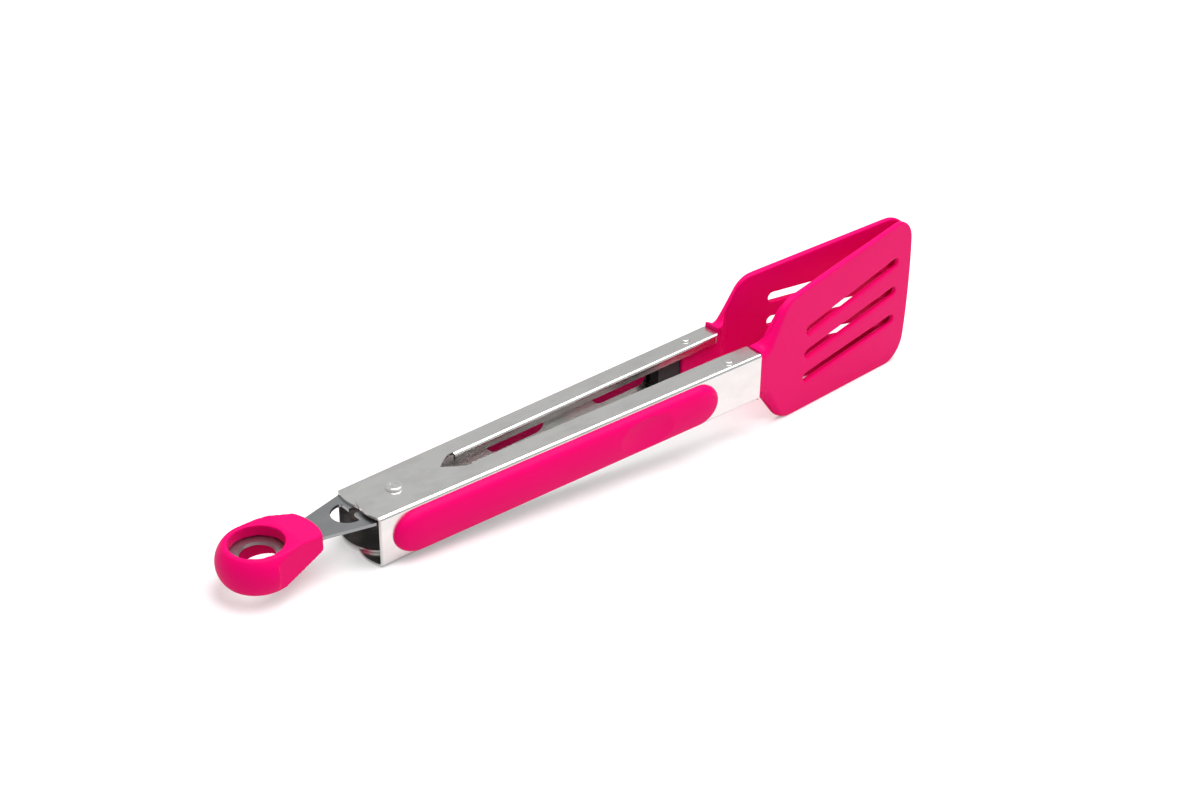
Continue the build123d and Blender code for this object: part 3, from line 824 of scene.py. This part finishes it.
class TONGS_OT_inserts(bpy.types.Operator):
    """Finish the nylon inserts of the heads and the sleeve on the pivot"""

    bl_idname = "tongs.inserts"
    bl_label = "Nylon Parts"

    def execute(self, context):
        nylon = context.scene.tongs_finish.nylon
        worn_nylon = [c * 1.8 for c in nylon]
        black = moulded_finish(
            "Black Nylon", nylon, worn_nylon, roughness=0.5, mottle_size=0.004, grain_depth=0.3)
        natural = moulded_finish(
            "Natural Nylon", (0.80, 0.78, 0.70), (0.72, 0.69, 0.60),
            roughness=0.45, mottle_size=0.003, grain_depth=0.2)
        for node in ("near_head_core", "far_head_core"):
            dress(node, black)
        dress("pivot_sleeve", natural)
        return {"FINISHED"}


class TONGS_OT_loop(bpy.types.Operator):
    """Build the soft loop on the pull tab, with its edges rounded over"""

    bl_idname = "tongs.loop"
    bl_label = "Pull Loop"

    def execute(self, context):
        node = frame["nodes"]["pull_loop"]
        mesh = node.data.copy()
        mesh.transform(node.matrix_world)
        loop = bpy.data.objects.new("soft_pull_loop", mesh)
        context.scene.collection.objects.link(loop)
        even = loop.modifiers.new("even_mesh", "REMESH")
        even.mode = "VOXEL"
        even.voxel_size = LOOP_VOXEL * MM
        even.use_smooth_shade = True
        softened = loop.modifiers.new("soft_edges", "SMOOTH")
        softened.iterations = context.scene.tongs_shape.loop_softness
        softened.factor = 0.5
        depsgraph = context.evaluated_depsgraph_get()
        loop.data = bpy.data.meshes.new_from_object(loop.evaluated_get(depsgraph))
        loop.modifiers.clear()
        loop.data.materials.clear()
        loop.data.materials.append(silicone_finish("Loop Silicone"))
        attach(loop, "pull_tab")
        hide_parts("pull_loop")
        return {"FINISHED"}


# ------------------------------------------------------------------ studio
def add_softbox(power):
    """Large square light over the tongs."""
    light = bpy.data.lights.new("overhead_softbox", "AREA")
    light.shape = "SQUARE"
    light.size = SOFTBOX_SIZE
    light.energy = power
    box = bpy.data.objects.new("overhead_softbox", light)
    box.location = SOFTBOX_PLACE
    box.rotation_euler = (SOFTBOX_AIM - SOFTBOX_PLACE).to_track_quat("-Z", "Y").to_euler()
    bpy.context.scene.collection.objects.link(box)


def floor_material(tone):
    """Matt white floor with the faintest unevenness."""
    material, tree, shader = new_material("White Sweep")
    skin = tree.nodes.new("ShaderNodeGroup")
    skin.node_tree = shared_group("Moulded Skin", moulded_skin)
    skin.inputs["Mottle Size"].default_value = 0.3
    skin.inputs["Grain Depth"].default_value = 0.0
    pale, paler = (tone, tone, tone), (tone * 1.03, tone * 1.03, tone * 1.03)
    tree.links.new(mixed_colour(tree, skin.outputs["Mottle"], pale, paler), shader.inputs["Base Color"])
    shader.inputs["Emission Color"].default_value = (1, 1, 1, 1)
    light_path = tree.nodes.new("ShaderNodeLightPath")
    tree.links.new(
        varied(tree, light_path.outputs["Is Camera Ray"], 0.0, FLOOR_GLOW),
        shader.inputs["Emission Strength"])
    shader.inputs["Roughness"].default_value = 0.7
    shader.inputs["Specular IOR Level"].default_value = 0.2
    return material


def add_camera(studio):
    """Camera that looks at the target from its distance, yawed, pitched and rolled."""
    ahead = Vector((
        math.cos(studio.pitch) * math.cos(studio.yaw),
        math.cos(studio.pitch) * math.sin(studio.yaw),
        -math.sin(studio.pitch),
    ))
    level_right = Vector((math.sin(studio.yaw), -math.cos(studio.yaw), 0))
    level_up = level_right.cross(ahead)
    right = level_right * math.cos(studio.roll) + level_up * math.sin(studio.roll)
    up = level_up * math.cos(studio.roll) - level_right * math.sin(studio.roll)
    data = bpy.data.cameras.new("Camera")
    data.lens = studio.lens
    data.sensor_width = 36.0
    data.clip_start, data.clip_end = 0.01, 50
    camera = bpy.data.objects.new("Camera", data)
    place = Matrix((right, up, -ahead)).transposed().to_4x4()
    place.translation = PIVOT + Vector(studio.target) - ahead * studio.distance
    camera.matrix_world = place
    bpy.context.scene.collection.objects.link(camera)
    bpy.context.scene.camera = camera


class TONGS_OT_studio(bpy.types.Operator):
    """Set up the pale floor, soft light and camera"""

    bl_idname = "tongs.studio"
    bl_label = "Studio"

    def execute(self, context):
        scene = context.scene
        studio = scene.tongs_studio
        mesh = bpy.data.meshes.new("studio_floor")
        corners = [(x * FLOOR_REACH, y * FLOOR_REACH, 0) for x, y in ((-1, -1), (1, -1), (1, 1), (-1, 1))]
        mesh.from_pydata(corners, [], [(0, 1, 2, 3)])
        mesh.materials.append(floor_material(studio.floor_tone))
        floor = bpy.data.objects.new("studio_floor", mesh)
        scene.collection.objects.link(floor)
        world = bpy.data.worlds.new("White Room")
        world.use_nodes = True
        world.node_tree.nodes["Background"].inputs["Color"].default_value = (1, 1, 1, 1)
        world.node_tree.nodes["Background"].inputs["Strength"].default_value = studio.fill
        scene.world = world
        add_softbox(studio.overhead)
        add_camera(studio)
        scene.view_settings.view_transform = "Standard"
        return {"FINISHED"}


# ------------------------------------------------------------------ add-on
OPERATORS = (
    TONGS_OT_steel,
    TONGS_OT_inserts,
    TONGS_OT_loop,
    TONGS_OT_grips,
    TONGS_OT_heads,
    TONGS_OT_spring,
    TONGS_OT_studio,
)


class TONGS_PT_panel(bpy.types.Panel):
    """Settings and steps of the tongs"""

    bl_idname = "TONGS_PT_panel"
    bl_label = "Kitchen Tongs"
    bl_space_type = "VIEW_3D"
    bl_region_type = "UI"
    bl_category = "Tongs"

    def draw(self, context):
        for settings in (context.scene.tongs_shape, context.scene.tongs_finish, context.scene.tongs_studio):
            column = self.layout.column(align=True)
            for name in settings.__annotations__:
                column.prop(settings, name)
        for operator in OPERATORS:
            self.layout.operator(operator.bl_idname)


CLASSES = (TongsShape, TongsFinish, TongsStudio, *OPERATORS, TONGS_PT_panel)


def register():
    for cls in CLASSES:
        bpy.utils.register_class(cls)
    bpy.types.Scene.tongs_shape = PointerProperty(type=TongsShape)
    bpy.types.Scene.tongs_finish = PointerProperty(type=TongsFinish)
    bpy.types.Scene.tongs_studio = PointerProperty(type=TongsStudio)


def unregister():
    del bpy.types.Scene.tongs_studio
    del bpy.types.Scene.tongs_finish
    del bpy.types.Scene.tongs_shape
    for cls in reversed(CLASSES):
        bpy.utils.unregister_class(cls)


def main():
    register()
    bpy.ops.tongs.steel()
    bpy.ops.tongs.inserts()
    bpy.ops.tongs.loop()
    bpy.ops.tongs.grips()
    bpy.ops.tongs.heads()
    bpy.ops.tongs.spring()
    bpy.ops.tongs.studio()


if __name__ == "__main__":
    main()
